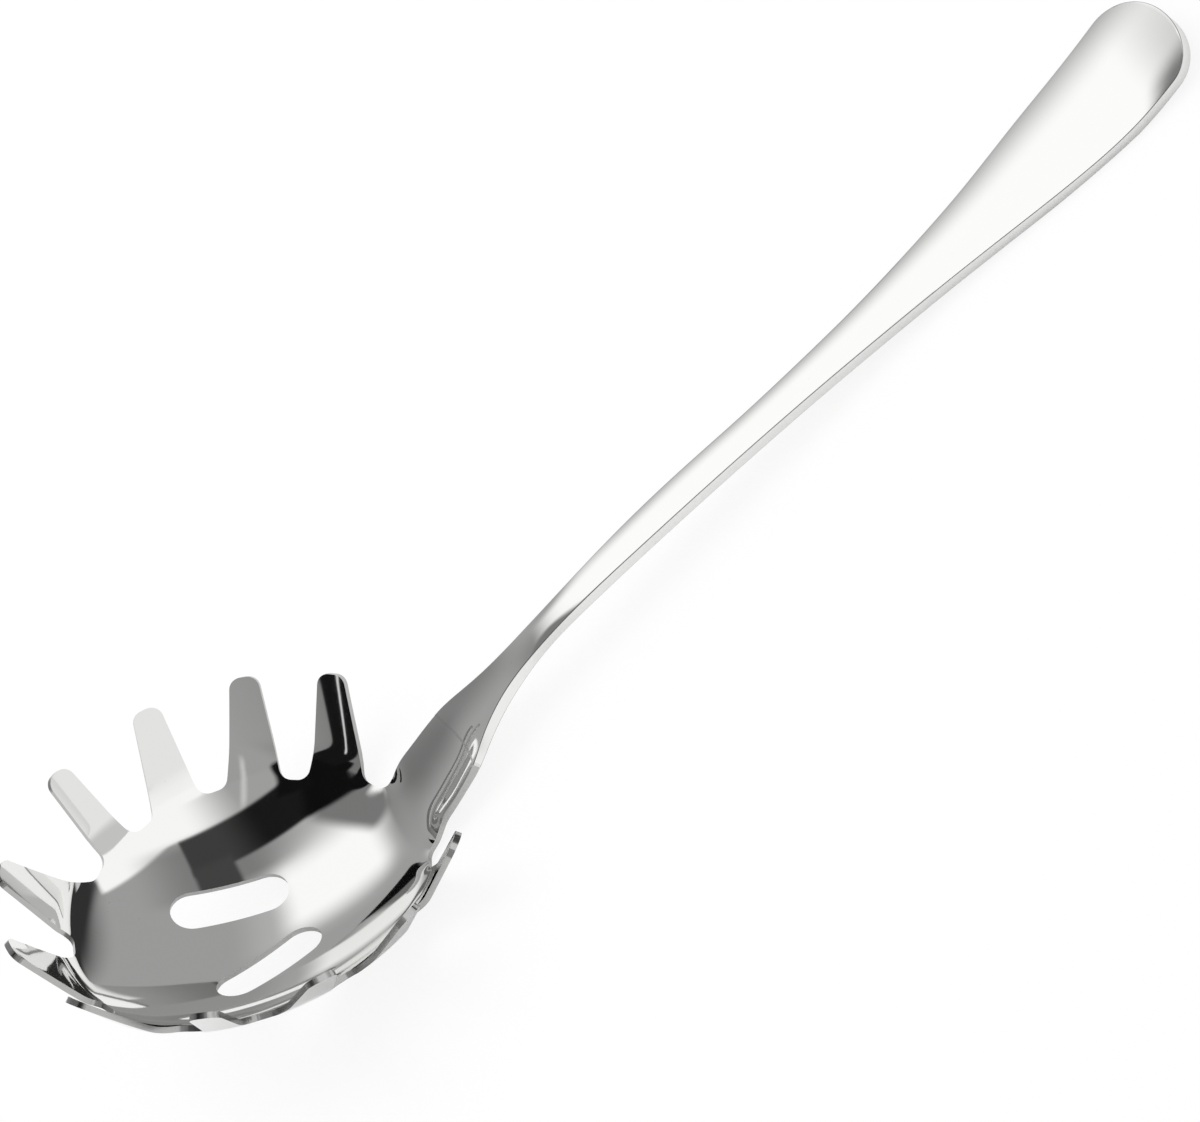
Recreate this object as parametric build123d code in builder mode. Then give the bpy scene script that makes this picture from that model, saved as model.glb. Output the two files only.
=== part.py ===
# Stainless steel pasta server: a pressed bowl with fingers and two drain slots, butt-welded to a long flat handle.
# Millimetres, +Z up. The server lies face up on a table, on the underside of its bowl and the flat of its handle.
# +X runs to the end of the handle. The origin is on the table, under the middle of the server's length.
from build123d import *
from math import asin, atan, cos, degrees, radians, sin, sqrt, tan
import os

# Metal
sheet_thickness = 1.4           # of the pressed bowl
bar_thickness = 3.0             # of the handle, along its edges

# Bowl, seen along its own axis
rest_tilt = 26.0                # degrees that the bowl's mouth leans towards the handle at rest
floor_radius = 85.4             # inside radius of the round floor
floor_reach = 42.3              # from the axis to where the wall starts to turn up
turn_radius = 9.4               # inside radius of that turn
wall_slope = 61.7               # degrees from level
wall_length = 18.95             # straight part of the wall, up to the fingers' tips

# Fingers and the gaps between them, by their angle round the axis from the handle's side, on the +Y half
finger_angles = (40.5, 64.0, 90.0, 118.5, 152.0, 180.0)
finger_tip_width = 6.8
finger_tip_round = 3.1
gap_angles = (52.0, 81.5, 109.0, 131.0, 163.5)
gap_reach_shares = (0.955, 0.979, 0.998, 1.005, 1.017)      # of the floor's reach
gap_width = 6.6                 # at the gap's foot
gap_round = 3.2
neck_gap_angle = 22.5           # of the gaps each side of the shoulder
neck_gap_reach_share = 0.994
gap_lean = 52.0                 # degrees, leaves the sheet's cut edges about square

# Drain slots, a pair that closes up towards the handle
slot_length = 28.5
slot_width = 10.6
slot_ahead = 3.6                # from the axis to the middle of the slots, away from the handle
slot_offset = 12.5              # each side of the middle
slot_angle = 14.4               # degrees

# Shoulder, the channel that rises from the bowl's floor into the handle's neck
channel_depth = 4.4
wedge_angle = 18.0              # degrees that the bowl's opening for the shoulder widens each side
# Where the shoulder joins the floor: ahead of the foot of the neck gaps and inside it, of the gap's width
join_ahead_share = 0.08
join_side_share = 0.17
# Stations from the join to the neck: distance, narrowing, rise of the edges, depth of the channel, thickening
gap_edge_shares = (             # the last is where the neck gap meets the shoulder's edge
    (0.043, 0.12, 0.0, 0.26, 0.0),
    (0.10, 0.19, 0.14, 0.57, 0.0),
    (0.155, 0.225, 0.32, 0.91, 0.0),
)
seam_shares = (                 # the last is where the weld is
    (0.24, 0.25, 0.44, 1.0, 0.03),
    (0.333, 0.29, 0.533, 0.93, 0.125),
    (0.456, 0.38, 0.655, 0.75, 0.375),
)
neck_shares = (
    (0.56, 0.557, 0.748, 0.43, 0.625),
    (0.676, 0.76, 0.832, 0.205, 0.81),
    (0.82, 0.926, 0.916, 0.09, 0.94),
)

# Weld between bowl and handle
seam_width = 0.7
seam_lean = 17.0                # degrees from upright

# Handle
neck_distance = 53.0            # from the floor's lowest point to the start of the neck
neck_half_width = 4.2
neck_rise = 10.5                # of the underside, at its highest
paddle_half_width = 16.9
handle_end = 260.3              # from the floor's lowest point to the rounded end
end_round = 11.0                # length of that rounding
crown_share = 0.035             # rise of the top's middle, of the half width
belly_share = 0.015             # drop of the underside's middle, of the half width
# Stations from the neck to past the end: distance, widening, height of the underside
handle_shares = (
    (0.0, 0.0, 0.97),
    (0.082, 0.0, 1.0),
    (0.169, 0.055, 0.943),
    (0.265, 0.08, 0.80),
    (0.352, 0.083, 0.62),
    (0.444, 0.126, 0.44),
    (0.521, 0.197, 0.295),
    (0.622, 0.354, 0.143),
    (0.709, 0.55, 0.038),
    (0.806, 0.82, -0.014),
    (0.888, 0.968, 0.01),
    (0.95, 1.0, 0.162),
    (1.013, 1.0, 0.39),
)

overrun = 8.0                   # of a cutter, past the metal that it cuts

outer_radius = floor_radius + sheet_thickness
rim_sine = floor_reach / floor_radius
floor_rim = asin(rim_sine)
neck_gap_reach = neck_gap_reach_share * floor_reach
side_station = len(gap_edge_shares) - 1
seam_station = side_station + len(seam_shares)
neck_height = neck_rise + bar_thickness
wall_lean = radians(wall_slope)
tilt = radians(rest_tilt)
turn_centre = (floor_radius - turn_radius) * rim_sine
turn_end = turn_centre + turn_radius * sin(wall_lean)
finger_reach = turn_end + wall_length * cos(wall_lean)


def inner_height(reach):
    """Height of the bowl's inner face, from the centre of the floor's sphere, along the bowl's axis."""
    turn_height = -(floor_radius - turn_radius) * cos(floor_rim)
    if reach <= floor_reach:
        return -sqrt(floor_radius**2 - reach**2)
    if reach <= turn_end:
        return turn_height - sqrt(turn_radius**2 - (reach - turn_centre) ** 2)
    return turn_height - turn_radius * cos(wall_lean) + (reach - turn_end) * tan(wall_lean)


# The origin's distance from the floor's lowest point: half way between the front finger's tip and the handle's end
front_reach = finger_reach + sheet_thickness * sin(wall_lean)
front_height = inner_height(finger_reach) - sheet_thickness * cos(wall_lean)
front_end = -front_reach * cos(tilt) + front_height * sin(tilt)
low_point = -(front_end + handle_end) / 2

# The bowl's own frame: at the centre of the floor's sphere, local z up through the mouth, local x to the handle
mouth = Plane(
    origin=(low_point, 0, outer_radius),
    x_dir=(cos(tilt), 0, -sin(tilt)),
    z_dir=(sin(tilt), 0, cos(tilt)),
)
bowl_axis = Axis(mouth.origin, mouth.z_dir)


def bowl_direction(x, y, z):
    return mouth.from_local_coords(Vector(x, y, z)) - mouth.origin


def on_bowl(angle, reach, across=0):
    """Point of the inner face at this angle and reach, moved across, square to its radius."""
    turn = radians(angle)
    x = reach * cos(turn) - across * sin(turn)
    y = reach * sin(turn) + across * cos(turn)
    return mouth.from_local_coords(Vector(x, y, inner_height(reach)))


def gap_plane(angle, reach):
    """Plane that leans with the wall at a gap's foot, local y up the wall."""
    turn = radians(angle)
    lean = radians(gap_lean)
    side = bowl_direction(sin(turn), -cos(turn), 0)
    inward = bowl_direction(-sin(lean) * cos(turn), -sin(lean) * sin(turn), cos(lean))
    return Plane(origin=on_bowl(angle, reach), x_dir=side, z_dir=inward)


def flat_point(plane, point):
    local = plane.to_local_coords(point)
    return (local.X, local.Y)


def half_gap(plane, angle, reach, finger_angle, side):
    """One side of a gap: its foot's corner, and a point past the corner of the finger's tip."""
    foot_x, foot_y = flat_point(plane, on_bowl(angle, reach, side * gap_width / 2))
    tip_x, tip_y = flat_point(plane, on_bowl(finger_angle, finger_reach, -side * finger_tip_width / 2))
    past = 1 + overrun / tip_y
    return [(foot_x, foot_y), (foot_x + (tip_x - foot_x) * past, foot_y + (tip_y - foot_y) * past)]


def station_section(distance, half_width, top_edge, top_middle, under_edge, under_middle):
    """Upright section of the shoulder or handle: arcs above and below, upright sides."""
    plane = Plane(origin=(low_point + distance, 0, 0), x_dir=(0, 1, 0), z_dir=(1, 0, 0))
    with BuildSketch(plane) as section:
        with BuildLine():
            top = ThreePointArc((-half_width, top_edge), (0, top_middle), (half_width, top_edge))
            under = ThreePointArc((-half_width, under_edge), (0, under_middle), (half_width, under_edge))
            Line(top @ 0, under @ 0)
            Line(top @ 1, under @ 1)
        make_face()
    return section.sketch.faces()[0]


def floor_height(distance, side, radius):
    """Height over the table of a sphere about the floor's centre."""
    return outer_radius - sqrt(radius**2 - distance**2 - side**2)


# Sections of the shoulder and the handle, from the foot of the neck gaps to past the handle's end
foot = on_bowl(neck_gap_angle, neck_gap_reach)
join_distance = foot.X - low_point + join_ahead_share * gap_width
join_side = foot.Y - join_side_share * gap_width
join_height = floor_height(join_distance, join_side, floor_radius)
sections = [
    station_section(
        join_distance,
        join_side,
        join_height,
        floor_height(join_distance, 0, floor_radius),
        floor_height(join_distance, join_side, outer_radius),
        floor_height(join_distance, 0, outer_radius),
    )
]
shoulder_edges = []
for along, narrowing, rise, depth, thickening in gap_edge_shares + seam_shares + neck_shares:
    distance = join_distance + along * (neck_distance - join_distance)
    half_width = join_side + narrowing * (neck_half_width - join_side)
    edge = join_height + rise * (neck_height - join_height)
    middle = edge - depth * channel_depth
    thickness = sheet_thickness + thickening * (bar_thickness - sheet_thickness)
    side_lean = 2 * atan((edge - middle) / half_width)
    under = edge - thickness / cos(side_lean)
    sections.append(station_section(distance, half_width, edge, middle, under, middle - thickness))
    shoulder_edges.append(Vector(low_point + distance, half_width, edge))
for along, widening, rise in handle_shares:
    distance = neck_distance + along * (handle_end - neck_distance)
    half_width = neck_half_width + widening * (paddle_half_width - neck_half_width)
    under = rise * neck_rise
    edge = under + bar_thickness
    middle = edge + crown_share * half_width
    sections.append(station_section(distance, half_width, edge, middle, under, under - belly_share * half_width))


def seam_plane(ahead):
    """Plane of the weld, moved along the handle."""
    lean = radians(seam_lean)
    seam = shoulder_edges[seam_station]
    return Plane(
        origin=(seam.X + ahead * cos(lean), 0, seam.Z + ahead * sin(lean)),
        x_dir=(0, 1, 0),
        z_dir=(cos(lean), 0, sin(lean)),
    )


def is_tip_corner(edge):
    """An edge across the sheet at the side of a finger's tip."""
    heights = [mouth.to_local_coords(vertex.center()).Z for vertex in edge.vertices()]
    slack = sheet_thickness / 100
    return abs(max(heights) - inner_height(finger_reach)) < slack and abs(min(heights) - front_height) < slack


# Cutters for the gaps between the fingers
with BuildPart() as cutters:
    for first, (angle, reach_share) in enumerate(zip(gap_angles, gap_reach_shares)):
        reach = reach_share * floor_reach
        plane = gap_plane(angle, reach)
        ahead = half_gap(plane, angle, reach, finger_angles[first + 1], 1)
        behind = half_gap(plane, angle, reach, finger_angles[first], -1)
        with BuildSketch(plane):
            with BuildLine():
                FilletPolyline(*reversed(ahead), *behind, radius=[0, gap_round, gap_round, 0], close=True)
            make_face()
        extrude(amount=overrun, both=True)
    # The gap beside the shoulder follows the shoulder's edge
    plane = gap_plane(neck_gap_angle, neck_gap_reach)
    ahead = half_gap(plane, neck_gap_angle, neck_gap_reach, finger_angles[0], 1)
    foot_corner = flat_point(plane, on_bowl(neck_gap_angle, neck_gap_reach, -gap_width / 2))
    shoulder_edge = flat_point(plane, shoulder_edges[side_station])
    with BuildSketch(plane):
        with BuildLine():
            FilletPolyline(
                *reversed(ahead),
                foot_corner,
                shoulder_edge,
                (shoulder_edge[0], ahead[1][1]),
                radius=[0, gap_round, gap_round, 0, 0],
                close=True,
            )
        make_face()
    extrude(amount=overrun, both=True)
    mirror(about=Plane.XZ)

# Shoulder, up to the weld
with BuildPart() as shoulder:
    loft(sections[: seam_station + 5], clean=False)
    split(bisect_by=seam_plane(-seam_width / 2), keep=Keep.BOTTOM)

# Bowl: the dish turned about its axis, opened at the rear for the shoulder, then cut into fingers
with BuildPart() as bowl:
    with BuildSketch(Plane(origin=mouth.origin, x_dir=mouth.x_dir, z_dir=(0, -1, 0))):
        with BuildLine():
            rim = degrees(floor_rim)
            floor = CenterArc((0, 0), floor_radius, -90, rim)
            turn = JernArc(floor @ 1, floor % 1, turn_radius, wall_slope - rim)
            wall = Line(turn @ 1, (turn @ 1) + (turn % 1) * wall_length)
            under_floor = CenterArc((0, 0), outer_radius, -90, rim)
            under_turn = JernArc(under_floor @ 1, under_floor % 1, turn_radius + sheet_thickness, wall_slope - rim)
            under_wall = Line(under_turn @ 1, (under_turn @ 1) + (under_turn % 1) * wall_length)
            Line(wall @ 1, under_wall @ 1)
            Line(floor @ 0, under_floor @ 0)
        make_face()
    revolve(axis=bowl_axis, clean=False)
    start = low_point + join_distance
    reach = finger_reach
    spread = foot.Y + reach * tan(radians(wedge_angle))
    with BuildSketch(Plane.XY):
        with BuildLine():
            Polyline((start, -foot.Y), (start + reach, -spread), (start + reach, spread), (start, foot.Y), close=True)
        make_face()
    extrude(amount=outer_radius, mode=Mode.SUBTRACT, clean=False)
    add(shoulder.part)
    add(cutters.part, mode=Mode.SUBTRACT)
    fillet(bowl.edges().filter_by(is_tip_corner), radius=finger_tip_round)
    for side in (1, -1):
        slot_height = -sqrt(floor_radius**2 - slot_ahead**2 - slot_offset**2)
        out = Vector(slot_ahead, -side * slot_offset, -slot_height) / floor_radius
        along = Vector(cos(radians(slot_angle)), -side * sin(radians(slot_angle)), 0)
        slot_middle = mouth.from_local_coords(Vector(-slot_ahead, side * slot_offset, slot_height))
        slot_plane = Plane(
            origin=slot_middle,
            x_dir=bowl_direction(along.X, along.Y, along.Z),
            z_dir=bowl_direction(out.X, out.Y, out.Z),
        )
        with BuildSketch(slot_plane):
            SlotOverall(slot_length, slot_width)
        extrude(amount=overrun, both=True, mode=Mode.SUBTRACT)

with BuildPart() as weld_seam:
    loft(sections[seam_station - 2 : seam_station + 5], clean=False)
    split(bisect_by=seam_plane(-seam_width / 2), keep=Keep.TOP)
    split(bisect_by=seam_plane(seam_width / 2), keep=Keep.BOTTOM)

# Handle: cut to length with a rounded end, and ground flat where its underside meets the table
with BuildPart() as handle:
    loft(sections[seam_station - 2 :], clean=False)
    split(bisect_by=seam_plane(seam_width / 2), keep=Keep.TOP)
    round_start = low_point + handle_end - end_round
    cut_length = end_round + overrun
    with BuildSketch(Plane.XY):
        with Locations((round_start + cut_length / 2, 0)):
            Rectangle(cut_length, 2 * (paddle_half_width + overrun))
        with Locations((round_start, 0)):
            Ellipse(end_round, paddle_half_width, mode=Mode.SUBTRACT)
    extrude(amount=neck_height + overrun, both=True, mode=Mode.SUBTRACT)
    split(bisect_by=Plane.XY, keep=Keep.TOP)

os.makedirs("parts", exist_ok=True)
bowl.part.label = "bowl"
weld_seam.part.label = "weld_seam"
handle.part.label = "handle"
export_step(bowl.part, "parts/bowl.step")
export_step(weld_seam.part, "parts/weld_seam.step")
export_step(handle.part, "parts/handle.step")
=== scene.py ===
import bpy
import numpy
from math import asin, cos, exp, hypot, pi, radians, sin, sqrt, tan
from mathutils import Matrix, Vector


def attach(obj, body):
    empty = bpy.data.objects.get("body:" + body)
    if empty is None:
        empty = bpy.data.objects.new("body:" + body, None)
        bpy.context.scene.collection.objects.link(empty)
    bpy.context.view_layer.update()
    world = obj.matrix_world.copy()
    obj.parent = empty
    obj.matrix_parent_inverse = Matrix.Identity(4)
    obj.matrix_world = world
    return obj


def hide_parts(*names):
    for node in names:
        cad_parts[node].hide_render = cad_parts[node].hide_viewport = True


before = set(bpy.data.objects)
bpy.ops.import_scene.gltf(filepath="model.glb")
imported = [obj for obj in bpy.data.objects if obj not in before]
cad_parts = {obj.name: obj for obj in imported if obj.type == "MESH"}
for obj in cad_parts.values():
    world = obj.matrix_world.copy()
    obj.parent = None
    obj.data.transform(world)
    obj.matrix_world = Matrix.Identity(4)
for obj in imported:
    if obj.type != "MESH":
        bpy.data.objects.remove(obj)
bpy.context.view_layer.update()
print("frame loaded:", sorted(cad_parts))
mm = 0.001

bowlShape = {
    "tilt": 26.0,              # degrees that the mouth leans to the handle
    "sheet": 1.4,
    "floorRadius": 85.4,       # along the server
    "sideFloorRadius": 63.0,   # across it, which makes the dish a little oval
    "ovalShare": 0.8,
    "frontWall": (42.3, 9.4, 61.7),   # reach of the floor, radius of the turn, slope of the wall
    "sideWall": (39.1, 15.0, 49.5),
    "tipReach": 54.9,
    "pastTips": 2.0,           # how far the wall runs on past the fingers
    "blank": (-57.0, 66.0, 58.0),     # front, back and side of the slab that the blank is stamped from
    "slab": 2.0,
    "blankShift": 0.13,        # keeps the mesh lines off the middle
    "gridStep": 0.62,
}

tilt = radians(bowlShape["tilt"])
outerRadius = bowlShape["floorRadius"] + bowlShape["sheet"]


def wallProfile(radius, wall):
    reachEnd, turnRadius, slopeDegrees = wall
    slope = radians(slopeDegrees)
    base = radius - bowlShape["floorRadius"]
    rim = asin(reachEnd / radius)
    turnCentre = (radius - turnRadius) * sin(rim)
    turnHeight = base - (radius - turnRadius) * cos(rim)
    turnEnd = turnCentre + turnRadius * sin(slope)

    def height(reach):
        if reach <= reachEnd:
            return base - sqrt(radius**2 - reach**2)
        if reach <= turnEnd:
            return turnHeight - sqrt(turnRadius**2 - (reach - turnCentre) ** 2)
        return turnHeight - turnRadius * cos(slope) + (reach - turnEnd) * tan(slope)

    return height


frontHeight = wallProfile(bowlShape["floorRadius"], bowlShape["frontWall"])
sideHeight = wallProfile(bowlShape["sideFloorRadius"], bowlShape["sideWall"])


def dishHeight(x, y):
    reach = hypot(x, y)
    if reach == 0:
        return frontHeight(0)
    side = bowlShape["ovalShare"] * (y / reach) ** 2
    return (1 - side) * frontHeight(reach) + side * sideHeight(reach)


def smoothStep(low, high, value):
    share = min(1, max(0, (value - low) / (high - low)))
    return share * share * (3 - 2 * share)


def toTable(x, y, z):
    return (x * cos(tilt) + z * sin(tilt), y, outerRadius - x * sin(tilt) + z * cos(tilt))


def toBowl(distance, height):
    z = height - outerRadius
    return (distance * cos(tilt) - z * sin(tilt), distance * sin(tilt) + z * cos(tilt))


def sphereHeight(distance, side, radius):
    return outerRadius - sqrt(radius**2 - distance**2 - side**2)


fingers = {
    "angles": (40.5, 64.0, 90.0, 118.5, 152.0, 180.0),
    "tipWidth": 6.8,
    "tipRound": 3.1,
    "gapAngles": (52.0, 81.5, 109.0, 131.0, 163.5),
    "gapReaches": (40.4, 41.4, 42.2, 42.5, 43.0),
    "sideGapLoss": 3.2,        # how much nearer the gaps' feet are at the sides
    "gapWidth": 6.6,
    "gapRound": 3.15,
    "footStretch": 1.2,        # the wall leans at the gaps' feet
    "neckGapAngle": 22.5,
    "neckGapReach": 42.05,
}


def around(angle, reach, across=0):
    turn = radians(angle)
    return (reach * cos(turn) - across * sin(turn), reach * sin(turn) + across * cos(turn))


def roundCorner(before, corner, after, radius, turn, stretch, steps=7):
    radial = Vector((cos(turn), sin(turn)))
    tangent = Vector((-sin(turn), cos(turn)))

    def flat(point):
        offset = Vector(point) - Vector(corner)
        return Vector((offset.dot(radial) * stretch, offset.dot(tangent)))

    first, second = flat(before).normalized(), flat(after).normalized()
    half = first.angle(second) / 2
    reach = radius / tan(half)
    centre = (first + second).normalized() * (radius / sin(half))
    start, end = first * reach - centre, second * reach - centre
    sweep = start.angle(end)
    points = []
    for i in range(steps + 1):
        a = sin(sweep * (1 - i / steps)) / sin(sweep)
        b = sin(sweep * i / steps) / sin(sweep)
        local = centre + start * a + end * b
        place = Vector(corner) + radial * (local.x / stretch) + tangent * local.y
        points.append((place.x, place.y))
    return points


def blankOutline():
    half = []
    steps = 24
    start = stationRow("seamStation")[0] + shoulder["pastSeam"]
    end = stationRow("sideStation")[0]
    for i in range(steps + 1):
        distance = start + (end - start) * i / steps
        half.append((toBowl(distance, edgeAt(distance))[0], halfWidthAt(distance)))
    angle, reach = fingers["neckGapAngle"], fingers["neckGapReach"]
    footHalf, tipHalf = fingers["gapWidth"] / 2, fingers["tipWidth"] / 2
    feet = [(angle, reach)]
    for gapAngle, gapReach in zip(fingers["gapAngles"], fingers["gapReaches"]):
        loss = bowlShape["ovalShare"] * fingers["sideGapLoss"] * sin(radians(gapAngle)) ** 2
        feet.append((gapAngle, gapReach - loss))
    corners = []    # corner, radius, angle, stretch
    for i, (gapAngle, gapReach) in enumerate(feet):
        for side in (-footHalf, footHalf):
            corners.append((around(gapAngle, gapReach, side), fingers["gapRound"], gapAngle,
                            fingers["footStretch"]))
        tip = fingers["angles"][i]
        slope, sideSlope = bowlShape["frontWall"][2], bowlShape["sideWall"][2]
        slope += bowlShape["ovalShare"] * sin(radians(tip)) ** 2 * (sideSlope - slope)
        stretch = 1 / cos(radians(slope))
        for side in (-tipHalf, tipHalf):
            corners.append((around(tip, bowlShape["tipReach"], side), fingers["tipRound"], tip, stretch))
    beyond = around(360 - fingers["gapAngles"][-1], fingers["gapReaches"][-1], -footHalf)
    places = [half[-1]] + [corner[0] for corner in corners] + [beyond]
    for i, (corner, radius, angle, stretch) in enumerate(corners):
        half += roundCorner(places[i], corner, places[i + 2], radius, radians(angle), stretch)
    return [point for point in half if point[1] > 0]


slots = {"length": 28.5, "width": 10.6, "ahead": 3.6, "offset": 12.5, "angle": 14.4, "steps": 16}


def slotOutline(side):
    turn = -side * radians(slots["angle"])
    straight = slots["length"] / 2 - slots["width"] / 2
    endRadius = slots["width"] / 2
    points = []
    for end, start in ((1, -pi / 2), (-1, pi / 2)):
        for i in range(slots["steps"] + 1):
            angle = start + pi * i / slots["steps"]
            x = end * straight + endRadius * cos(angle)
            y = endRadius * sin(angle)
            points.append((x * cos(turn) - y * sin(turn) - slots["ahead"],
                           x * sin(turn) + y * cos(turn) + side * slots["offset"]))
    return points


def pick(*objects):
    bpy.ops.object.select_all(action="DESELECT")
    for item in objects:
        item.select_set(True)
    bpy.context.view_layer.objects.active = objects[0]


def applyModifiers(item):
    pick(item)
    for modifier in list(item.modifiers):
        bpy.ops.object.modifier_apply(modifier=modifier.name)


def stampPrism(name, outlines, height):
    curve = bpy.data.curves.new(name, "CURVE")
    curve.dimensions = "2D"
    curve.fill_mode = "BOTH"
    for outline in outlines:
        spline = curve.splines.new("POLY")
        spline.points.add(len(outline) - 1)
        for point, (x, y) in zip(spline.points, outline):
            point.co = (x * mm, y * mm, 0, 1)
        spline.use_cyclic_u = True
    stamp = bpy.data.objects.new(name, curve)
    bpy.context.collection.objects.link(stamp)
    pick(stamp)
    bpy.ops.object.convert(target="MESH")
    bpy.ops.object.mode_set(mode="EDIT")
    bpy.ops.mesh.select_all(action="SELECT")
    bpy.ops.mesh.remove_doubles(threshold=1e-7)
    bpy.ops.transform.translate(value=(0, 0, -height / 2))
    bpy.ops.mesh.extrude_region_move(TRANSFORM_OT_translate={"value": (0, 0, height)})
    bpy.ops.mesh.select_all(action="SELECT")
    bpy.ops.mesh.normals_make_consistent(inside=False)
    bpy.ops.object.mode_set(mode="OBJECT")
    return stamp


shoulder = {
    "joinShares": (0.08, 0.17),       # of a gap's width, ahead of the neck gap's foot and inwards
    "runIn": (12, 8, 4, 0),           # places before the join, where the shoulder still lies in the floor
    "channel": 4.4,
    "blendBefore": 6.0,        # where the dish begins to pass into the channel
    "blendAfter": 4.0,
    "blendAside": (15.5, 21.5),
    "lipStart": 0.6,           # share of the half width where the edge begins to roll out
    "lipSpan": (22.0, 40.0),   # where the rolled edge fades out
    # share of the way to the neck, narrowing, rise of the edges, depth of the channel, thickening
    "stations": (
        (0.043, 0.12, 0.0, 0.26, 0.0),
        (0.10, 0.19, 0.14, 0.57, 0.0),
        (0.155, 0.225, 0.32, 0.91, 0.0),
        (0.24, 0.25, 0.44, 1.0, 0.03),
        (0.333, 0.29, 0.533, 0.93, 0.125),
        (0.456, 0.38, 0.655, 0.75, 0.375),
        (0.56, 0.557, 0.748, 0.43, 0.625),
        (0.676, 0.76, 0.832, 0.205, 0.81),
        (0.82, 0.926, 0.916, 0.09, 0.94),
    ),
    "sideStation": 2,
    "seamStation": 5,
    "seamWidth": 0.7,
    "seamLean": 17.0,
    "pastSeam": 5.0,           # how far the blank runs on before it is trimmed
    "evenReach": 4.0,          # of the seam, where the shading follows the formula
}

bar = {
    "thickness": 3.0,
    "neckDistance": 53.0,
    "neckHalfWidth": 4.2,
    "neckRise": 10.5,
    "paddleHalfWidth": 16.9,
    "end": 260.3,
    "endRound": 11.0,
    "crown": 0.065,
    "belly": 0.015,
    # share of the way to the end, widening, height of the underside
    "stations": (
        (0.0, 0.0, 0.97),
        (0.082, 0.0, 1.0),
        (0.169, 0.055, 0.943),
        (0.265, 0.08, 0.80),
        (0.352, 0.083, 0.62),
        (0.444, 0.126, 0.44),
        (0.521, 0.197, 0.295),
        (0.622, 0.354, 0.143),
        (0.709, 0.55, 0.038),
        (0.806, 0.82, -0.014),
        (0.888, 0.968, 0.01),
        (0.95, 1.0, 0.162),
        (1.013, 1.0, 0.39),
    ),
    "underSpan": (-14.0, 4.0),        # round the neck, where the underside gets its own form
    "rows": 260,
    "capRows": 12,
    "across": 26,
    "edgeRound": 0.5,
    "edgeAngle": 50,
    "beforeSeam": 4.0,         # how far the bar runs on before it is trimmed
}

# the origin of part and scene is half way between the front tip and the handle's end
tipHeight = frontHeight(bowlShape["tipReach"])
frontSlope = radians(bowlShape["frontWall"][2])
frontEnd = -(bowlShape["tipReach"] + bowlShape["sheet"] * sin(frontSlope)) * cos(tilt)
frontEnd += (tipHeight - bowlShape["sheet"] * cos(frontSlope)) * sin(tilt)
lowPoint = -(frontEnd + bar["end"]) / 2


def gatherStations():
    turn = radians(fingers["neckGapAngle"])
    reach = fingers["neckGapReach"]
    footDistance, footSide, footHeight = toTable(reach * cos(turn), reach * sin(turn), frontHeight(reach))
    ahead, inwards = shoulder["joinShares"]
    joinDistance = footDistance + ahead * fingers["gapWidth"]
    joinSide = footSide - inwards * fingers["gapWidth"]
    radius = bowlShape["floorRadius"]
    joinHeight = sphereHeight(joinDistance, joinSide, radius)
    rows = []
    for back in shoulder["runIn"]:
        distance = joinDistance - back
        edge = sphereHeight(distance, joinSide, radius)
        middle = sphereHeight(distance, 0, radius)
        rows.append((distance, joinSide, edge, middle, bowlShape["sheet"], edge, middle))
    neckHeight = bar["neckRise"] + bar["thickness"]
    for along, narrowing, rise, depth, thickening in shoulder["stations"]:
        distance = joinDistance + along * (bar["neckDistance"] - joinDistance)
        halfWidth = joinSide + narrowing * (bar["neckHalfWidth"] - joinSide)
        edge = joinHeight + rise * (neckHeight - joinHeight)
        middle = edge - depth * shoulder["channel"]
        thickness = bowlShape["sheet"] + thickening * (bar["thickness"] - bowlShape["sheet"])
        rows.append((distance, halfWidth, edge, middle, thickness, edge - thickness, middle - thickness))
    for along, widening, rise in bar["stations"]:
        distance = bar["neckDistance"] + along * (bar["end"] - bar["neckDistance"])
        halfWidth = bar["neckHalfWidth"] + widening * (bar["paddleHalfWidth"] - bar["neckHalfWidth"])
        under = rise * bar["neckRise"]
        edge = under + bar["thickness"]
        rows.append((distance, halfWidth, edge, edge + bar["crown"] * halfWidth, bar["thickness"], under,
                     under - bar["belly"] * halfWidth))
    return joinDistance, rows


def smoothCurve(places, values):
    count = len(places)
    gaps = numpy.diff(places)
    slopes = numpy.diff(values) / gaps
    matrix = numpy.eye(count)
    right = numpy.zeros(count)
    for i in range(1, count - 1):
        matrix[i, i - 1 : i + 2] = gaps[i - 1], 2 * (gaps[i - 1] + gaps[i]), gaps[i]
        right[i] = 6 * (slopes[i] - slopes[i - 1])
    bends = numpy.linalg.solve(matrix, right)

    def value(place):
        i = int(numpy.clip(numpy.searchsorted(places, place) - 1, 0, count - 2))
        before, after = place - places[i], places[i + 1] - place
        gap = gaps[i]
        return (
            (bends[i] * after**3 + bends[i + 1] * before**3) / (6 * gap)
            + (values[i] / gap - bends[i] * gap / 6) * after
            + (values[i + 1] / gap - bends[i + 1] * gap / 6) * before
        )

    return value


joinDistance, stationRows = gatherStations()
columns = list(zip(*stationRows))
halfWidthAt, edgeAt, middleAt, thicknessAt, underEdgeAt, underMiddleAt = (
    smoothCurve(columns[0], column) for column in columns[1:]
)


def stationRow(name):
    return stationRows[len(shoulder["runIn"]) + shoulder[name]]


def archHeight(side, halfWidth, edge, middle):
    rise = edge - middle
    bend = 2 * rise / (halfWidth**2 + rise**2)
    return middle + bend * side**2 / (1 + sqrt(max(0, 1 - (bend * side) ** 2)))


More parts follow.
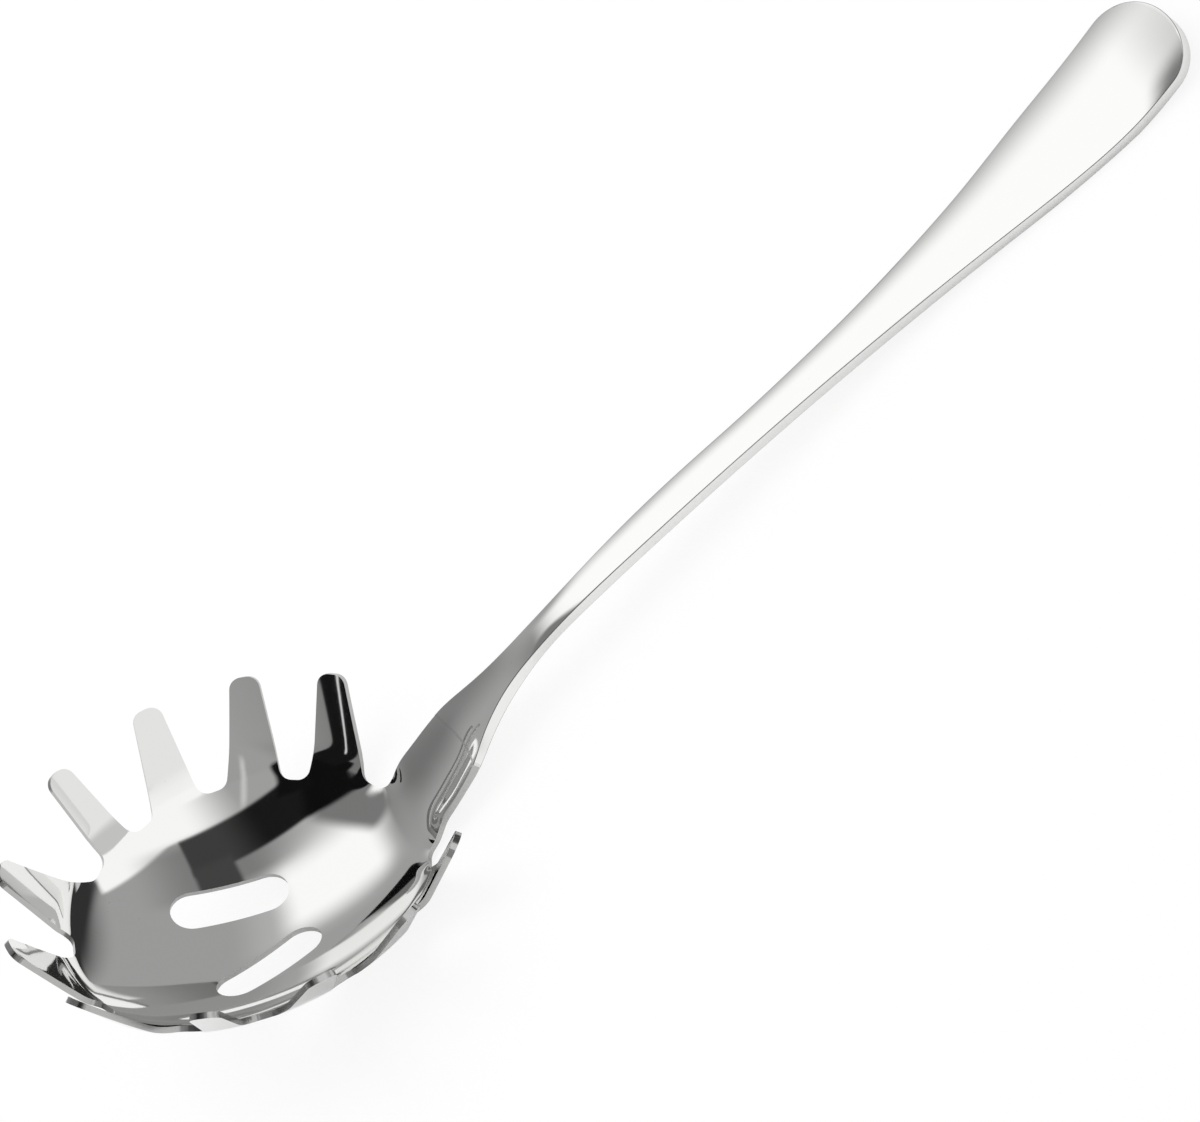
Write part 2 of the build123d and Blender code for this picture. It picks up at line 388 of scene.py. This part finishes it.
def topHeight(distance, side):
    halfWidth = halfWidthAt(distance)
    share = side / halfWidth
    start = shoulder["lipStart"]
    if share > start:    # the shoulder's edges roll out
        lip = 1 - smoothStep(*shoulder["lipSpan"], distance)
        rest = 1 - start
        share += lip * (start + rest * (1 - exp((start - share) / rest)) - share)
    return archHeight(share * halfWidth, halfWidth, edgeAt(distance), middleAt(distance))


def underHeight(distance, side):
    return archHeight(side, halfWidthAt(distance), underEdgeAt(distance), underMiddleAt(distance))


def pressedHeight(x, y):
    onSheet = hypot(x, y) < bowlShape["tipReach"] + bowlShape["pastTips"]
    dish = dishHeight(x, y) if onSheet else frontHeight(bowlShape["tipReach"])
    low, high = joinDistance - shoulder["blendBefore"], joinDistance + shoulder["blendAfter"]
    aside = 1 - smoothStep(*shoulder["blendAside"], abs(y))
    if aside == 0 or toTable(x, y, dish)[0] < low:
        return dish
    z = dish
    for attempt in range(10):    # settles on the point of the channel over x
        distance = toTable(x, y, z)[0]
        z = (topHeight(distance, abs(y)) - outerRadius + x * sin(tilt)) / cos(tilt)
    return dish + aside * smoothStep(low, high, distance) * (z - dish)


def seamPlane(ahead):
    lean = radians(shoulder["seamLean"])
    distance, halfWidth, edge = stationRow("seamStation")[:3]
    normal = Vector((cos(lean), 0, sin(lean)))
    return Vector(((lowPoint + distance) * mm, 0, edge * mm)) + normal * (ahead * mm), normal


def cutAt(item, ahead, keepFront):
    place, normal = seamPlane(ahead)
    pick(item)
    bpy.ops.object.mode_set(mode="EDIT")
    bpy.ops.mesh.select_all(action="SELECT")
    bpy.ops.mesh.bisect(plane_co=place, plane_no=normal, use_fill=True, clear_outer=keepFront,
                        clear_inner=not keepFront, threshold=1e-7)
    bpy.ops.mesh.select_all(action="DESELECT")
    bpy.ops.object.mode_set(mode="OBJECT")


def growSteel(item, distanceOf):
    group = item.vertex_groups.new(name="steel")
    for vertex in item.data.vertices:
        group.add([vertex.index], thicknessAt(distanceOf(vertex)) / bar["thickness"], "REPLACE")
    for slot in range(2):    # faces, cut edges
        item.data.materials.append(None)
    wall = item.modifiers.new("steel", "SOLIDIFY")
    wall.thickness = bar["thickness"] * mm
    wall.offset = -1
    wall.use_even_offset = True
    wall.vertex_group = "steel"
    wall.material_offset_rim = 1
    wall.use_quality_normals = True
    applyModifiers(item)


def finishShading(item, angle=32):
    pick(item)
    bpy.ops.object.shade_smooth_by_angle(angle=radians(angle))
    even = item.modifiers.new("even", "WEIGHTED_NORMAL")
    even.keep_sharp = True
    even.weight = 60
    applyModifiers(item)


def evenWeld(item):
    place, across = seamPlane(0)
    step, near = 0.05, 0.85
    mesh = item.data
    normals = [Vector(corner.vector) for corner in mesh.corner_normals]
    for polygon in mesh.polygons:
        if abs((polygon.center - place).dot(across)) > shoulder["evenReach"] * mm:
            continue
        for index in polygon.loop_indices:
            point = mesh.vertices[mesh.loops[index].vertex_index].co / mm
            distance, side = point.x - lowPoint, abs(point.y)
            along = topHeight(distance + step, side) - topHeight(distance - step, side)
            sideways = topHeight(distance, side + step) - topHeight(distance, abs(side - step))
            if side < step:
                sideways = 0
            normal = Vector((-along, -sideways if point.y > 0 else sideways, 2 * step)).normalized()
            if normal.dot(polygon.normal) > near:    # only the top side
                normals[index] = normal
    mesh.normals_split_custom_set(normals)


def makeBowl():
    half = blankOutline()
    outline = half + [(x, -y) for x, y in reversed(half)]
    slab = bowlShape["slab"] * mm
    stamp = stampPrism("stamp", [outline, slotOutline(1), slotOutline(-1)], 10 * slab)    # well through it
    front, back, wide = bowlShape["blank"]
    step = bowlShape["gridStep"]
    bpy.ops.object.select_all(action="DESELECT")
    bpy.ops.mesh.primitive_grid_add(
        x_subdivisions=int((back - front) / step), y_subdivisions=int(2 * wide / step), size=1,
        location=((front + back) / 2 * mm, bowlShape["blankShift"] * mm, 0))
    bowl = bpy.context.object
    bowl.name = "bowl_pressed"
    bowl.scale = ((back - front) * mm, 2 * wide * mm, 1)
    bpy.ops.object.transform_apply(location=True, rotation=False, scale=True)
    bpy.ops.object.mode_set(mode="EDIT")
    bpy.ops.mesh.select_all(action="SELECT")
    bpy.ops.mesh.extrude_region_move(TRANSFORM_OT_translate={"value": (0, 0, -slab)})
    bpy.ops.mesh.select_all(action="SELECT")
    bpy.ops.mesh.normals_make_consistent(inside=False)
    bpy.ops.object.mode_set(mode="OBJECT")
    cut = bowl.modifiers.new("stamp", "BOOLEAN")
    cut.operation = "INTERSECT"
    cut.solver = "EXACT"
    cut.object = stamp
    applyModifiers(bowl)
    bpy.data.objects.remove(stamp)
    # only the upper face of the slab is the blank
    bpy.ops.object.mode_set(mode="EDIT")
    bpy.ops.mesh.select_mode(type="VERT")
    bpy.ops.mesh.select_all(action="DESELECT")
    bpy.ops.object.mode_set(mode="OBJECT")
    for vertex in bowl.data.vertices:
        vertex.select = vertex.co.z < -slab / 2
    bpy.ops.object.mode_set(mode="EDIT")
    bpy.ops.mesh.delete(type="VERT")
    bpy.ops.mesh.select_all(action="SELECT")
    bpy.ops.mesh.remove_doubles(threshold=2e-6)
    bpy.ops.object.mode_set(mode="OBJECT")
    print("blank stamped:", len(bowl.data.polygons), "faces")
    for vertex in bowl.data.vertices:
        vertex.co.z = pressedHeight(vertex.co.x / mm, vertex.co.y / mm) * mm
    growSteel(bowl, lambda vertex: max(joinDistance, toTable(vertex.co.x / mm, 0, vertex.co.z / mm)[0]))
    bowl.rotation_euler = (0, tilt, 0)
    bowl.location = (lowPoint * mm, 0, outerRadius * mm)
    pick(bowl)
    bpy.ops.object.transform_apply(location=True, rotation=True, scale=True)
    cutAt(bowl, -shoulder["seamWidth"] / 2, True)
    finishShading(bowl)
    evenWeld(bowl)
    print("bowl pressed:", len(bowl.data.polygons), "faces")
    return bowl


def makeBar():
    rows, across = bar["rows"], bar["across"]
    bpy.ops.object.select_all(action="DESELECT")
    bpy.ops.mesh.primitive_grid_add(x_subdivisions=rows, y_subdivisions=across, size=1)
    item = bpy.context.object
    start = stationRow("seamStation")[0] - bar["beforeSeam"]
    roundStart = bar["end"] - bar["endRound"]
    capShare = bar["capRows"] / rows
    endHalf = halfWidthAt(roundStart)
    for vertex in item.data.vertices:
        along, side = vertex.co.x + 0.5, 2 * vertex.co.y
        if along <= 1 - capShare:
            distance = start + along / (1 - capShare) * (roundStart - start)
            y = side * halfWidthAt(distance)
        else:    # the last rows fill the rounded end
            cap = (along - 1 + capShare) / capShare
            distance = roundStart + bar["endRound"] * cap * sqrt(1 - side**2 / 2)
            y = endHalf * side * sqrt(1 - cap**2 / 2)
        vertex.co = Vector((lowPoint + distance, y, topHeight(distance, abs(y)))) * mm
    count = len(item.data.vertices)
    underStart, underEnd = (bar["neckDistance"] + offset for offset in bar["underSpan"])
    growSteel(item, lambda vertex: vertex.co.x / mm - lowPoint)
    for vertex in list(item.data.vertices)[count:]:
        distance = vertex.co.x / mm - lowPoint
        low = underHeight(distance, abs(vertex.co.y / mm)) * mm
        share = smoothStep(underStart, underEnd, distance)
        vertex.co.z = max(0, vertex.co.z + share * (low - vertex.co.z))
    edge = item.modifiers.new("edge", "BEVEL")
    edge.width = bar["edgeRound"] * mm
    edge.segments = 4
    edge.limit_method = "ANGLE"
    edge.angle_limit = radians(bar["edgeAngle"])
    # the rounded edge's faces get a slot of their own, later filled with darker steel as painted shade
    item.data.materials.append(None)
    edge.material = 2
    applyModifiers(item)
    return item


def makeHandle():
    item = makeBar()
    pick(item)
    bpy.ops.object.duplicate()
    weld = bpy.context.object
    weld.name = "weld_bead"
    item.name = "handle_bar"
    half = shoulder["seamWidth"] / 2
    cutAt(item, half, False)
    cutAt(weld, half, True)
    cutAt(weld, -half, False)
    for piece in (item, weld):
        finishShading(piece)
        evenWeld(piece)
    print("handle made:", len(item.data.polygons), "faces, weld", len(weld.data.polygons))
    return item, weld


# colours and polish of each steel; the two edge entries are darkened as painted shade
steelFinishAndEdgeShade = {
    "bowl_pressed": {"colour": (0.80, 0.80, 0.79), "roughness": 0.025, "grain": 0.12, "smudge": 0.03},
    "handle_bar": {"colour": (0.82, 0.82, 0.81), "roughness": 0.04, "grain": 0.2, "smudge": 0.04},
    "weld_bead": {"colour": (0.72, 0.72, 0.71), "roughness": 0.16, "grain": 0.8, "smudge": 0.08},
    # the rounded edge's dark colour is painted shade: a dark line along the edges of the same steel
    "painted_shade_rounded": {"colour": (0.36, 0.36, 0.355), "roughness": 0.12, "grain": 0.3, "smudge": 0.05},
    # the cut faces' dark colour is painted shade; their rougher, grainier finish is the cut's own
    "painted_shade_cut": {"colour": (0.46, 0.46, 0.455), "roughness": 0.2, "grain": 1.0, "smudge": 0.06},
}

# the polish that all the steel shares: grain lines along the tool, smudges and rare pits
polishLook = {
    "grainScale": (160, 2600, 2600),
    "smudgeScale": 38,
    "smudgeSpan": (0.35, 0.75),
    "pitScale": 420,
    "pitSize": 0.09,
    "pitPatchScale": 60,
    "pitPatchSpan": (0.6, 0.68),
    "pitTint": 0.7,
    "bumpStrength": 0.06,
    "bumpDistance": 0.00002,
}


def addNode(tree, kind, place, **values):
    node = tree.nodes.new(kind)
    node.location = place
    for name, value in values.items():
        setattr(node, name, value)
    return node


def polishGroup():
    group = bpy.data.node_groups.new("steelPolish", "ShaderNodeTree")
    for name, low in (("Roughness", 0.06), ("Grain", 0.3), ("Smudge", 0.05)):
        socket = group.interface.new_socket(name=name, in_out="INPUT", socket_type="NodeSocketFloat")
        socket.default_value = low
    for name in ("Roughness", "Height", "Tint"):
        group.interface.new_socket(name=name, in_out="OUTPUT", socket_type="NodeSocketFloat")
    inputs = addNode(group, "NodeGroupInput", (-900, 0))
    outputs = addNode(group, "NodeGroupOutput", (700, 0))
    place = addNode(group, "ShaderNodeTexCoord", (-900, -300))
    stretch = addNode(group, "ShaderNodeMapping", (-700, -300))
    stretch.inputs["Scale"].default_value = polishLook["grainScale"]
    lines = addNode(group, "ShaderNodeTexNoise", (-500, -300))
    lines.inputs["Scale"].default_value = 1
    lines.inputs["Detail"].default_value = 2
    smudge = addNode(group, "ShaderNodeTexNoise", (-500, 0))
    smudge.inputs["Scale"].default_value = polishLook["smudgeScale"]
    smudge.inputs["Detail"].default_value = 5
    smudge.inputs["Roughness"].default_value = 0.62
    pits = addNode(group, "ShaderNodeTexVoronoi", (-500, 300))
    pits.inputs["Scale"].default_value = polishLook["pitScale"]
    pitMask = addNode(group, "ShaderNodeMapRange", (-300, 300))
    pitMask.inputs["From Min"].default_value = 0.0
    pitMask.inputs["From Max"].default_value = polishLook["pitSize"]
    pitMask.inputs["To Min"].default_value = 1
    pitMask.inputs["To Max"].default_value = 0
    where = addNode(group, "ShaderNodeTexNoise", (-500, 550))
    where.inputs["Scale"].default_value = polishLook["pitPatchScale"]
    rare = addNode(group, "ShaderNodeMapRange", (-300, 550))
    rare.inputs["From Min"].default_value, rare.inputs["From Max"].default_value = polishLook["pitPatchSpan"]
    pitted = addNode(group, "ShaderNodeMath", (-100, 400), operation="MULTIPLY")
    shift = addNode(group, "ShaderNodeMapRange", (-300, 0))
    shift.inputs["From Min"].default_value, shift.inputs["From Max"].default_value = polishLook["smudgeSpan"]
    smudged = addNode(group, "ShaderNodeMath", (-100, 0), operation="MULTIPLY")
    rough = addNode(group, "ShaderNodeMath", (100, 0), operation="ADD")
    grain = addNode(group, "ShaderNodeMath", (-100, -300), operation="MULTIPLY")
    height = addNode(group, "ShaderNodeMath", (100, -300), operation="SUBTRACT")
    tint = addNode(group, "ShaderNodeMapRange", (100, 400))
    tint.inputs["To Min"].default_value = 1
    tint.inputs["To Max"].default_value = polishLook["pitTint"]
    link = group.links.new
    link(place.outputs["Object"], stretch.inputs["Vector"])
    link(stretch.outputs["Vector"], lines.inputs["Vector"])
    for texture in (smudge, pits, where):
        link(place.outputs["Object"], texture.inputs["Vector"])
    link(pits.outputs["Distance"], pitMask.inputs["Value"])
    link(where.outputs["Fac"], rare.inputs["Value"])
    link(pitMask.outputs["Result"], pitted.inputs[0])
    link(rare.outputs["Result"], pitted.inputs[1])
    link(smudge.outputs["Fac"], shift.inputs["Value"])
    link(shift.outputs["Result"], smudged.inputs[0])
    link(inputs.outputs["Smudge"], smudged.inputs[1])
    link(smudged.outputs[0], rough.inputs[0])
    link(inputs.outputs["Roughness"], rough.inputs[1])
    link(lines.outputs["Fac"], grain.inputs[0])
    link(inputs.outputs["Grain"], grain.inputs[1])
    link(grain.outputs[0], height.inputs[0])
    link(pitted.outputs[0], height.inputs[1])
    link(pitted.outputs[0], tint.inputs["Value"])
    link(rough.outputs[0], outputs.inputs["Roughness"])
    link(height.outputs[0], outputs.inputs["Height"])
    link(tint.outputs["Result"], outputs.inputs["Tint"])
    return group


def steelMaterial(name, polish):
    values = steelFinishAndEdgeShade[name]
    material = bpy.data.materials.new(name)
    material.use_nodes = True
    tree = material.node_tree
    steel = tree.nodes["Principled BSDF"]
    steel.inputs["Metallic"].default_value = 1
    surface = addNode(tree, "ShaderNodeGroup", (-600, 0), node_tree=polish)
    surface.inputs["Roughness"].default_value = values["roughness"]
    surface.inputs["Grain"].default_value = values["grain"]
    surface.inputs["Smudge"].default_value = values["smudge"]
    colour = addNode(tree, "ShaderNodeMix", (-350, 200), data_type="RGBA", blend_type="MULTIPLY")
    colour.inputs["Factor"].default_value = 1
    colour.inputs["A"].default_value = (*values["colour"], 1)
    bump = addNode(tree, "ShaderNodeBump", (-350, -250))
    bump.inputs["Strength"].default_value = polishLook["bumpStrength"]
    bump.inputs["Distance"].default_value = polishLook["bumpDistance"]
    tree.links.new(surface.outputs["Tint"], colour.inputs["B"])
    tree.links.new(colour.outputs["Result"], steel.inputs["Base Color"])
    tree.links.new(surface.outputs["Roughness"], steel.inputs["Roughness"])
    tree.links.new(surface.outputs["Height"], bump.inputs["Height"])
    tree.links.new(bump.outputs["Normal"], steel.inputs["Normal"])
    return material


studio = {
    "softLight": 0.86,            # plain white light from all round
    "lampPower": 5.0,
    "lampSize": 0.9,
    "lampPlace": (-0.25, 0.35, 1.1),
    "floorSize": 12,
    "floorHeight": -0.00015,      # just under the steel that rests on it
    "floorColour": 0.9,
    "floorSeen": 0.86,            # share of plain white in the floor that the camera sees
    "floorMirrored": 0.05,        # the same in the steel
    "room": 0.40,                 # brightness that the steel mirrors where there is no card
}

# Soft-edged cards round the steel, each laid over those before it, on a flat map of the directions
# whose centre is straight up. A card has a middle, a half size, a turn in degrees, a softness of its
# edges and a brightness.
cards = {
    "leftRoom": ((-0.52, 0.05), (0.46, 0.30), 0, (0.05, 0.30), 0.20),
    "rightFlag": ((1.08, 0.30), (0.39, 0.58), 0, (0.07, 0.06), 0.035),
    "sideCard": ((0.445, -0.40), (0.275, 0.315), 0, (0.015, 0.01), 1.14),
    "sideCardTop": ((0.560, -0.120), (0.17, 0.115), 33, (0.02, 0.012), 1.14),
    "sideFade": ((0.10, -0.15), (0.14, 0.08), 0, (0.09, 0.03), 0.42),
    "farCard": ((0.79, -0.51), (0.40, 0.30), 40, (0.03, 0.004), 0.66),
    "lowCard": ((0.66, -0.85), (0.52, 0.41), 0, (0.02, 0.07), 0.95),
    "streak": ((0.10, -0.22), (0.15, 0.008), 62, (0.04, 0.008), 0.65),
    "glow": ((0.12, 0.35), (0.16, 0.29), 0, (0.06, 0.08), 0.52),
    "softbox": ((0.065, 0.375), (0.132, 0.18), 0, (0.04, 0.09), 1.18),
    "neckShade": ((-0.055, 0.190), (0.13, 0.06), -65, (0.03, 0.02), 0.22),
    "middleGrey": ((0.30, 0.06), (0.16, 0.13), 0, (0.10, 0.04), 0.24),
    "darkFlag": ((0.20, 0.0), (0.17, 0.085), 0, (0.006, 0.01), 0.055),
    "darkHigh": ((0.315, 0.12), (0.055, 0.07), 0, (0.008, 0.02), 0.065),
    "darkMiddle": ((0.07, 0.0), (0.14, 0.08), 0, (0.06, 0.008), 0.011),
    "blackFlag": ((-0.12, -0.055), (0.13, 0.085), 12, (0.02, 0.008), 0.005),
    "blackTop": ((-0.045, 0.035), (0.085, 0.085), -20, (0.02, 0.012), 0.005),
    "fingerFlag": ((-0.35, -0.090), (0.22, 0.070), -3, (0.012, 0.006), 0.008),
    "blackLow": ((-0.01, -0.12), (0.05, 0.11), -28, (0.01, 0.01), 0.006),
    "edgeLine": ((-0.45, -0.079), (0.09, 0.005), 4, (0.03, 0.003), 0.8),
}


def cardGroup():
    group = bpy.data.node_groups.new("card", "ShaderNodeTree")
    for name, kind in (("Below", "Float"), ("Place", "Vector"), ("Middle", "Vector"), ("Half", "Vector"),
                       ("Turn", "Float"), ("Soft", "Vector"), ("Shade", "Float")):
        group.interface.new_socket(name=name, in_out="INPUT", socket_type="NodeSocket" + kind)
    group.interface.new_socket(name="Shade", in_out="OUTPUT", socket_type="NodeSocketFloat")
    inputs = addNode(group, "NodeGroupInput", (-1200, 0))
    outputs = addNode(group, "NodeGroupOutput", (800, 0))
    offset = addNode(group, "ShaderNodeVectorMath", (-1000, 200), operation="SUBTRACT")
    turned = addNode(group, "ShaderNodeVectorRotate", (-800, 200), rotation_type="Z_AXIS", invert=True)
    apart = addNode(group, "ShaderNodeSeparateXYZ", (-600, 200))
    inner = addNode(group, "ShaderNodeVectorMath", (-800, -200), operation="SUBTRACT")
    outer = addNode(group, "ShaderNodeVectorMath", (-800, -400), operation="ADD")
    innerParts = addNode(group, "ShaderNodeSeparateXYZ", (-600, -200))
    outerParts = addNode(group, "ShaderNodeSeparateXYZ", (-600, -400))
    both = addNode(group, "ShaderNodeMath", (400, 0), operation="MULTIPLY")
    mix = addNode(group, "ShaderNodeMix", (600, 0))
    link = group.links.new
    link(inputs.outputs["Place"], offset.inputs[0])
    link(inputs.outputs["Middle"], offset.inputs[1])
    link(offset.outputs[0], turned.inputs["Vector"])
    link(inputs.outputs["Turn"], turned.inputs["Angle"])
    link(turned.outputs[0], apart.inputs[0])
    for node in (inner, outer):
        link(inputs.outputs["Half"], node.inputs[0])
        link(inputs.outputs["Soft"], node.inputs[1])
    link(inner.outputs[0], innerParts.inputs[0])
    link(outer.outputs[0], outerParts.inputs[0])
    for i, axis in enumerate("XY"):
        size = addNode(group, "ShaderNodeMath", (-100, 200 - 300 * i), operation="ABSOLUTE")
        fade = addNode(group, "ShaderNodeMapRange", (150, 200 - 300 * i), interpolation_type="SMOOTHSTEP")
        fade.inputs["To Min"].default_value = 1
        fade.inputs["To Max"].default_value = 0
        link(apart.outputs[axis], size.inputs[0])
        link(size.outputs[0], fade.inputs["Value"])
        link(innerParts.outputs[axis], fade.inputs["From Min"])
        link(outerParts.outputs[axis], fade.inputs["From Max"])
        link(fade.outputs["Result"], both.inputs[i])
    link(both.outputs[0], mix.inputs["Factor"])
    link(inputs.outputs["Below"], mix.inputs["A"])
    link(inputs.outputs["Shade"], mix.inputs["B"])
    link(mix.outputs["Result"], outputs.inputs["Shade"])
    return group


def makeWorld():
    world = bpy.data.worlds.new("studio")
    bpy.context.scene.world = world
    world.use_nodes = True
    tree = world.node_tree
    tree.nodes.clear()
    link = tree.links.new
    direction = addNode(tree, "ShaderNodeTexCoord", (-2200, 0))
    parts = addNode(tree, "ShaderNodeSeparateXYZ", (-2000, 0))
    rise = addNode(tree, "ShaderNodeMath", (-1800, -200), operation="ADD")
    rise.inputs[1].default_value = 1.0001    # so that straight down stays finite
    flat = addNode(tree, "ShaderNodeVectorMath", (-1600, 0), operation="DIVIDE")
    spread = addNode(tree, "ShaderNodeCombineXYZ", (-1700, -200))
    link(direction.outputs["Generated"], parts.inputs[0])
    link(parts.outputs["Z"], rise.inputs[0])
    for axis in "XYZ":
        link(rise.outputs[0], spread.inputs[axis])
    link(direction.outputs["Generated"], flat.inputs[0])
    link(spread.outputs[0], flat.inputs[1])
    group = cardGroup()
    below = None
    for i, (name, (middle, half, turn, soft, shade)) in enumerate(cards.items()):
        card = addNode(tree, "ShaderNodeGroup", (-1400 + 180 * i, 400), node_tree=group, label=name)
        card.inputs["Middle"].default_value = (*middle, 0)
        card.inputs["Half"].default_value = (*half, 0)
        card.inputs["Soft"].default_value = (*soft, 0)
        card.inputs["Turn"].default_value = radians(turn)
        card.inputs["Shade"].default_value = shade
        link(flat.outputs[0], card.inputs["Place"])
        if below:
            link(below, card.inputs["Below"])
        else:
            card.inputs["Below"].default_value = studio["room"]
        below = card.outputs["Shade"]
    mirrored = addNode(tree, "ShaderNodeBackground", (1700, 200))
    link(below, mirrored.inputs["Color"])
    soft = addNode(tree, "ShaderNodeBackground", (1700, 0))
    soft.inputs["Color"].default_value = (1, 1, 1, 1)
    soft.inputs["Strength"].default_value = studio["softLight"]
    white = addNode(tree, "ShaderNodeBackground", (1700, -200))
    white.inputs["Color"].default_value = (1, 1, 1, 1)
    path = addNode(tree, "ShaderNodeLightPath", (1500, 500))
    lit = addNode(tree, "ShaderNodeMixShader", (1900, 0))
    seen = addNode(tree, "ShaderNodeMixShader", (2100, 0))
    out = addNode(tree, "ShaderNodeOutputWorld", (2300, 0))
    link(path.outputs["Is Glossy Ray"], lit.inputs["Fac"])
    link(soft.outputs[0], lit.inputs[1])
    link(mirrored.outputs[0], lit.inputs[2])
    link(path.outputs["Is Camera Ray"], seen.inputs["Fac"])
    link(lit.outputs[0], seen.inputs[1])
    link(white.outputs[0], seen.inputs[2])
    link(seen.outputs[0], out.inputs["Surface"])


def makeFloor():
    bpy.ops.mesh.primitive_plane_add(size=studio["floorSize"], location=(0, 0, studio["floorHeight"]))
    floor = bpy.context.object
    floor.name = "floor"
    material = bpy.data.materials.new("floor")
    material.use_nodes = True
    tree = material.node_tree
    link = tree.links.new
    ground = tree.nodes["Principled BSDF"]
    ground.inputs["Roughness"].default_value = 0.9
    ground.inputs["Specular IOR Level"].default_value = 0
    ground.inputs["Emission Color"].default_value = (1, 1, 1, 1)
    path = addNode(tree, "ShaderNodeLightPath", (-900, -300))
    inSteel = addNode(tree, "ShaderNodeMath", (-700, -300), operation="MULTIPLY")
    inSteel.inputs[1].default_value = studio["floorMirrored"]
    inView = addNode(tree, "ShaderNodeMath", (-500, -300), operation="MULTIPLY_ADD")
    inView.inputs[1].default_value = studio["floorSeen"]
    shown = addNode(tree, "ShaderNodeMapRange", (-300, 100))
    shown.inputs["To Min"].default_value = studio["floorColour"]
    shown.inputs["To Max"].default_value = 0
    link(path.outputs["Is Glossy Ray"], inSteel.inputs[0])
    link(path.outputs["Is Camera Ray"], inView.inputs[0])
    link(inSteel.outputs[0], inView.inputs[2])
    link(inView.outputs[0], shown.inputs["Value"])
    link(shown.outputs["Result"], ground.inputs["Base Color"])
    link(inView.outputs[0], ground.inputs["Emission Strength"])
    floor.data.materials.append(material)


def makeLamp():
    lamp = bpy.data.lights.new("softbox", "AREA")
    lamp.shape = "RECTANGLE"
    lamp.size = lamp.size_y = studio["lampSize"]
    lamp.energy = studio["lampPower"]
    box = bpy.data.objects.new("softbox", lamp)
    bpy.context.collection.objects.link(box)
    box.location = studio["lampPlace"]
    box.rotation_euler = (-box.location).to_track_quat("-Z", "Y").to_euler()
    box.visible_glossy = False


cameraView = {"place": (0.0407, -0.6139, 0.5580), "turn": (36.34, 34.80, -32.79), "lens": 106.45}


def makeCamera():
    camera = bpy.data.objects.new("camera", bpy.data.cameras.new("camera"))
    bpy.context.collection.objects.link(camera)
    camera.data.lens = cameraView["lens"]
    camera.data.sensor_width = 36
    camera.data.clip_start, camera.data.clip_end = 0.05, 50
    camera.location = cameraView["place"]
    camera.rotation_euler = [radians(angle) for angle in cameraView["turn"]]
    bpy.context.scene.camera = camera


bowl = makeBowl()
handle, weld = makeHandle()
polish = polishGroup()
# the two edge materials are darker steel: painted shade along the cut faces and the rounded edges
paintedShadeCutSteel = steelMaterial("painted_shade_cut", polish)
paintedShadeRoundSteel = steelMaterial("painted_shade_rounded", polish)
for piece, node, slotName in ((bowl, "bowl", "pressed_steel"), (handle, "handle", "handle_steel"),
                              (weld, "weld_seam", "weld_steel")):
    steel = steelMaterial(piece.name, polish)
    piece.data.materials[0] = steel
    piece.data.materials[1] = paintedShadeCutSteel if piece is bowl else steel
    if piece is not bowl:
        piece.data.materials[2] = paintedShadeRoundSteel
    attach(piece, "root")
    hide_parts(node)
makeWorld()
makeFloor()
makeLamp()
makeCamera()
print("studio ready:", len(cards), "cards")

bpy.context.scene.view_settings.view_transform = "Standard"
